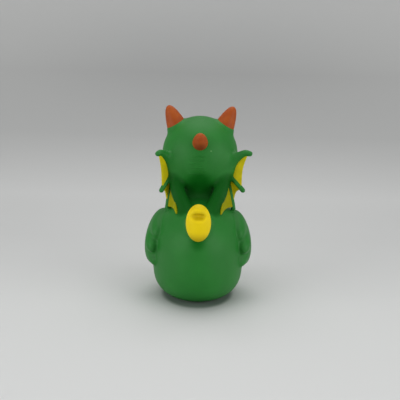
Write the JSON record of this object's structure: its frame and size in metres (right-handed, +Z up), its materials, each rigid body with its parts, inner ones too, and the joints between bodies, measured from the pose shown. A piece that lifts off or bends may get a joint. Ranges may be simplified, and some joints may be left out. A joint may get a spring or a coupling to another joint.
{
  "type": "rubber duck",
  "caption": "Hollow vinyl bath duck dressed as a horned, winged dragon: one painted moulding with an oval tail tip, standing on a flat keel with a small vent",
  "frame": {"origin": "on the flat keel, straight under the widest part of the body, at the bottom of the bounding box", "axes": "+Z up, the bill points along -Y, the tail along +Y, and +X is the duck's left"},
  "size_m": [0.0544, 0.072, 0.0946],
  "materials": {
    "green_vinyl": "satin soft vinyl, mid green, with orange and yellow sprayed paint"
  },
  "bodies": {
    "root": {"duck_moulding": "green_vinyl"}
  },
  "joints": []
}
